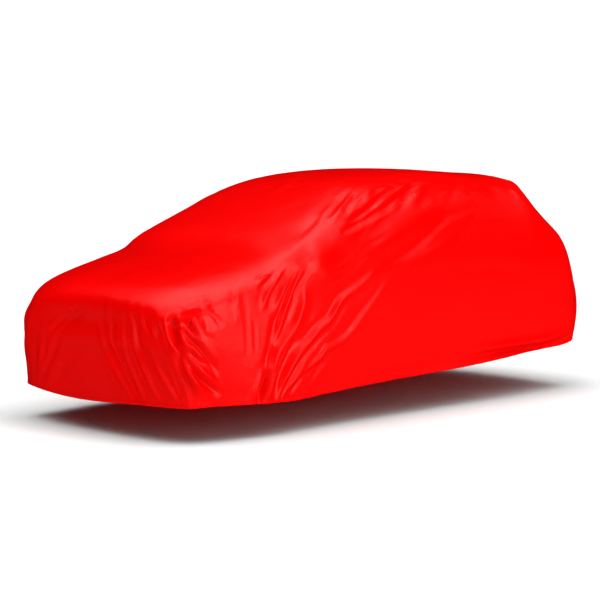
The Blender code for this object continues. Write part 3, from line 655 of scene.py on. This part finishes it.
def refine(bm):             # twice as close a mesh where the folds are, and twice again on the nose
    onCloth = bm.verts.layers.float_vector["onCloth"]
    for regions in (fineRegions, finestRegions):
        close = []
        for edge in bm.edges:
            a, b = (vertex[onCloth] for vertex in edge.verts)
            if any(within((a + b) / 2, region) for region in regions):
                close.append(edge)
        made = bmesh.ops.subdivide_edges(bm, edges=close, cuts=1, use_grid_fill=True)
        added = [item for item in made["geom_inner"] if isinstance(item, bmesh.types.BMVert)]
        relax(bm, added, cover["fineSmoothing"])
    bmesh.ops.recalc_face_normals(bm, faces=bm.faces)
    print("cover sheet draped:", len(bm.verts), "points")


def raiseBumps(bm):
    for bump in readTable(bumpColumns, bumps):
        places, normals = readPlaces(bm), readNormals(bm)
        top = np.array((bump["x"], bump["y"], bump["z"]))
        away = np.linalg.norm(places - top, axis=1) / bump["radius"]
        writePlaces(bm, places + normals * (bump["height"] * np.exp(-away**2))[:, None])


def layFolds(bm):
    dice = random.Random(cover["seed"])
    allFolds = readTable(foldColumns, folds)
    for field in readTable(wrinkleColumns, wrinkles):
        allFolds += strewnFolds(field, dice)
    places, normals = readPlaces(bm), readNormals(bm)
    lift = unevenness(places)
    for fold in allFolds:
        lift = lift + foldLift(places, normals, fold)
    lift = lift + hemLift(places, readShares(bm)[2], dice)
    writePlaces(bm, places + normals * lift[:, None])
    print("folds laid:", len(folds), "by hand and", len(allFolds) - len(folds), "strewn")


def hemLift(places, down, dice):    # the hem band stands proud and its elastic puckers it
    rise = (1 - down) * clothSize["hemDrop"]
    band = np.where(down > 0, np.clip((cover["hemBand"] - rise) / cover["hemEdge"], 0, 1), 0)
    around = places[:, 0] + places[:, 1] * cover["puckerSlant"]
    waves = sum(
        dice.uniform(0.5, 1.0) * np.sin(around * 2 * np.pi / length + dice.uniform(0, 6))
        for length in cover["puckerLengths"]
    )
    fade = np.where(down > 0, np.exp(-rise / cover["puckerRise"]), 0)
    return band * cover["hemProud"] + cover["pucker"] * waves * fade


def mapCloth(bm):           # one map for the weave, and one round the hem and up from it
    across, along, down = readShares(bm)
    atEnd, atFlank = np.abs(along) > rimShare, np.abs(across) > rimShare
    size = clothSize
    u = across * size["halfTop"] + np.where(atFlank, np.sign(across) * down * size["side"], 0)
    v = along * size["halfLength"] + np.where(atEnd, np.sign(along) * down * size["end"], 0)
    alongFlank = np.sign(across) * (size["halfHemWidth"] + along * size["halfHemLength"])
    around = np.where(atEnd, across * size["halfHemWidth"], alongFlank)
    drop = np.where(down > 0, (1 - down) * size["hemDrop"], size["hemDrop"])
    clothMap = bm.loops.layers.uv.new("cloth")
    hemMap = bm.loops.layers.uv.new("hem")
    for face in bm.faces:
        for loop in face.loops:
            i = loop.vert.index
            loop[clothMap].uv = (u[i], v[i])
            loop[hemMap].uv = (around[i], drop[i])


def coverSheet():
    bm = evenGrid()
    drape(bm)
    refine(bm)
    raiseBumps(bm)
    layFolds(bm)
    mapCloth(bm)
    offset = (0.0, -cover["supportY"], -cover["supportHeight"])
    bmesh.ops.translate(bm, verts=bm.verts, vec=offset)
    return bm


def link(tree, fromSocket, toSocket):
    tree.links.new(fromSocket, toSocket)


def redCloth():
    look = {
        "colour": (0.92, 0.0008, 0.0007),
        "deepColour": (0.84, 0.0006, 0.0006),
        "deepUpTo": 0.25,          # where on the scale of shades each colour is reached
        "fullFrom": 0.62,
        "roughness": 0.25,
        "roughnessRange": 0.10,
        "specular": 0.30,
        "sheen": 0.05,
        "sheenRoughness": 0.45,
        "sheenTint": (1.0, 0.12, 0.12),
        "threadPitch": 0.0011,
        "stitchPitch": 0.0045,
        "stitchShare": 0.72,       # of its pitch that a stitch takes up
        "stitchHeight": 0.019,
        "stitchWidth": 0.0009,     # both widths to either side of the line
        "pinchWidth": 0.0022,
        "mottling": (1.7, 3.0, 0.5),       # scale, detail and roughness of each noise
        "speckle": (38.0, 4.0, 0.6),
        "crumples": (22.0, 5.0, 0.55),
        "reliefStrength": 0.8,
    }
    # mottling and speckle are the dye's own tone; weave and pinch are painted shade in the thread gaps and
    # the stitch groove
    shades = {"mottling": 0.7, "speckle": 0.3, "weave": 0.06, "pinch": -0.25}
    relief = {
        "crumples": 0.0022, "speckle": 0.0006, "weave": 0.00004, "stitch": 0.0004, "pinch": -0.0005
    }
    material = bpy.data.materials.new("redCloth")
    material.use_nodes = True
    tree = material.node_tree
    nodes = tree.nodes
    shader = nodes["Principled BSDF"]
    shader.inputs["Metallic"].default_value = 0.0
    shader.inputs["Specular IOR Level"].default_value = look["specular"]
    shader.inputs["Sheen Weight"].default_value = look["sheen"]
    shader.inputs["Sheen Roughness"].default_value = look["sheenRoughness"]
    shader.inputs["Sheen Tint"].default_value = (*look["sheenTint"], 1.0)
    place = nodes.new("ShaderNodeTexCoord")

    def calc(operation, a, b=None):
        node = nodes.new("ShaderNodeMath")
        node.operation = operation
        for socket, value in zip(node.inputs, (a, b)):
            if value is None:
                continue
            if isinstance(value, (int, float)):
                socket.default_value = value
            else:
                link(tree, value, socket)
        return node.outputs[0]

    def blend(parts, weights):      # the parts that have a weight, times their weights, added up
        total = None
        for name, weight in weights.items():
            part = calc("MULTIPLY", parts[name], weight)
            total = part if total is None else calc("ADD", total, part)
        return total

    def noiseOf(name):
        node = nodes.new("ShaderNodeTexNoise")
        for socket, value in zip(("Scale", "Detail", "Roughness"), look[name]):
            node.inputs[socket].default_value = value
        link(tree, place.outputs["Object"], node.inputs["Vector"])
        return node.outputs["Fac"]

    def mapAxes(name):
        uv = nodes.new("ShaderNodeUVMap")
        uv.uv_map = name
        split = nodes.new("ShaderNodeSeparateXYZ")
        link(tree, uv.outputs[0], split.inputs[0])
        return split.outputs[0], split.outputs[1]

    # warp and weft threads
    turns = 2 * math.pi / look["threadPitch"]
    threads = [calc("SINE", calc("MULTIPLY", axis, turns)) for axis in mapAxes("cloth")]
    parts = {name: noiseOf(name) for name in ("mottling", "speckle", "crumples")}
    parts["weave"] = blend(threads, {0: 0.5, 1: 0.5})

    # stitching along the hem
    around, rise = mapAxes("hem")
    fromLine = calc("ABSOLUTE", calc("SUBTRACT", rise, look["stitchHeight"]))
    onLine = calc("LESS_THAN", fromLine, look["stitchWidth"])
    beat = calc("FRACT", calc("DIVIDE", around, look["stitchPitch"]))
    parts["stitch"] = calc("MULTIPLY", onLine, calc("LESS_THAN", beat, look["stitchShare"]))
    parts["pinch"] = calc("LESS_THAN", fromLine, look["pinchWidth"])

    # colour: dye varies slowly at random, and painted shade makes it a little deeper in the thread gaps and
    # in the groove at the stitching
    ramp = nodes.new("ShaderNodeValToRGB")
    deep, full = ramp.color_ramp.elements
    deep.position, full.position = look["deepUpTo"], look["fullFrom"]
    deep.color, full.color = (*look["deepColour"], 1.0), (*look["colour"], 1.0)
    link(tree, blend(parts, shades), ramp.inputs["Fac"])
    link(tree, ramp.outputs["Color"], shader.inputs["Base Color"])

    leastRough = look["roughness"] - look["roughnessRange"] / 2
    gloss = calc("ADD", calc("MULTIPLY", parts["speckle"], look["roughnessRange"]), leastRough)
    link(tree, gloss, shader.inputs["Roughness"])

    # relief: crumples a few millimetres wide, the weave, and the stitches
    bump = nodes.new("ShaderNodeBump")
    bump.inputs["Distance"].default_value = 1.0
    bump.inputs["Strength"].default_value = look["reliefStrength"]
    link(tree, blend(parts, relief), bump.inputs["Height"])
    link(tree, bump.outputs["Normal"], shader.inputs["Normal"])
    return material


def makeCover():
    bm = coverSheet()
    mesh = bpy.data.meshes.new("coverSheet")
    bm.to_mesh(mesh)
    bm.free()
    mesh.shade_smooth()
    mesh.materials.append(redCloth())
    piece = bpy.data.objects.new("coverSheet", mesh)
    bpy.context.scene.collection.objects.link(piece)
    thicken = piece.modifiers.new("thickness", "SOLIDIFY")
    thicken.thickness = cover["thickness"]
    thicken.offset = -1.0
    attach(piece, "root")
    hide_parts("cover_cloth")
    print("cover made")
    return piece


# Stage: a pale floor in a white room, and soft lamps far off on every side.

studio = {
    "floorColour": (0.83, 0.90, 0.90),      # a little cool, against the red that the cloth throws
    "floorRoughness": 0.9,
    "floorSpecular": 0.1,
    "floorSize": 120.0,
    "roomColour": (0.80, 0.80, 0.80),
}

# azimuth, elevation and spread are in degrees, and azimuth is 0 in front of the nose
lightColumns = ("name", "azimuth", "elevation", "strength", "spread")
lights = (
    ("overhead", 0, 88, 0.84, 66),
    ("front", 345, 60, 0.76, 50),
    ("behind", 225, 70, 0.32, 40),
    ("far", 285, 62, 0.16, 50),
    ("rear", 138, 66, 0.28, 40),
    ("slope", 144, 53, 0.26, 46),
    ("high", 100, 58, 0.20, 36),
    ("side", 112, 35, 0.42, 38),
    ("key", 108, 8, 0.60, 26),
    ("corner", 52, 13, 0.30, 28),
    ("low", 14, 12, 0.10, 26),
)

photoView = {       # where the photo was taken from, in the part's own frame
    "place": (8.48, -8.95, 0.203),
    "azimuth": 45.7,
    "down": 5.17,
    "lens": 106.5,
    "sensor": 36.0,
}


def makeFloor():
    bm = bmesh.new()
    bmesh.ops.create_grid(bm, x_segments=1, y_segments=1, size=studio["floorSize"] / 2)
    bmesh.ops.translate(bm, verts=bm.verts, vec=(0.0, 0.0, -cover["supportHeight"]))
    mesh = bpy.data.meshes.new("studioFloor")
    bm.to_mesh(mesh)
    bm.free()
    material = bpy.data.materials.new("floorPaint")
    material.use_nodes = True
    shader = material.node_tree.nodes["Principled BSDF"]
    shader.inputs["Base Color"].default_value = (*studio["floorColour"], 1.0)
    shader.inputs["Roughness"].default_value = studio["floorRoughness"]
    shader.inputs["Specular IOR Level"].default_value = studio["floorSpecular"]
    mesh.materials.append(material)
    floor = bpy.data.objects.new("studioFloor", mesh)
    bpy.context.scene.collection.objects.link(floor)
    floor.visible_glossy = False      # the cloth's sheen mirrors the lights only


def makeLights():
    for row in readTable(lightColumns, lights):
        light = bpy.data.lights.new(row["name"], "SUN")
        light.energy = row["strength"]
        light.angle = math.radians(row["spread"])
        sun = bpy.data.objects.new(row["name"], light)
        a, e = math.radians(row["azimuth"]), math.radians(row["elevation"])
        toward = Vector((math.sin(a) * math.cos(e), -math.cos(a) * math.cos(e), math.sin(e)))
        sun.rotation_mode = "QUATERNION"
        sun.rotation_quaternion = (-toward).to_track_quat("-Z", "Y")
        bpy.context.scene.collection.objects.link(sun)


def makeSurround():     # a white room that shows behind the cover but lights nothing
    world = bpy.data.worlds.new("studio")
    bpy.context.scene.world = world
    world.use_nodes = True
    world.cycles_visibility.diffuse = False
    world.cycles_visibility.glossy = False
    background = world.node_tree.nodes["Background"]
    background.inputs["Color"].default_value = (*studio["roomColour"], 1.0)


def makeCamera():
    data = bpy.data.cameras.new("photoCamera")
    data.sensor_width = photoView["sensor"]
    data.lens = photoView["lens"]
    camera = bpy.data.objects.new("photoCamera", data)
    a, e = math.radians(photoView["azimuth"]), math.radians(photoView["down"])
    ahead = Vector((-math.sin(a) * math.cos(e), math.cos(a) * math.cos(e), -math.sin(e)))
    camera.location = photoView["place"]
    camera.rotation_mode = "QUATERNION"
    camera.rotation_quaternion = ahead.to_track_quat("-Z", "Y")
    bpy.context.scene.collection.objects.link(camera)
    bpy.context.scene.camera = camera


makeCover()
makeFloor()
makeSurround()
makeLights()
makeCamera()
bpy.context.scene.view_settings.view_transform = "Standard"
bpy.context.scene.view_settings.look = "High Contrast"
print("studio set")
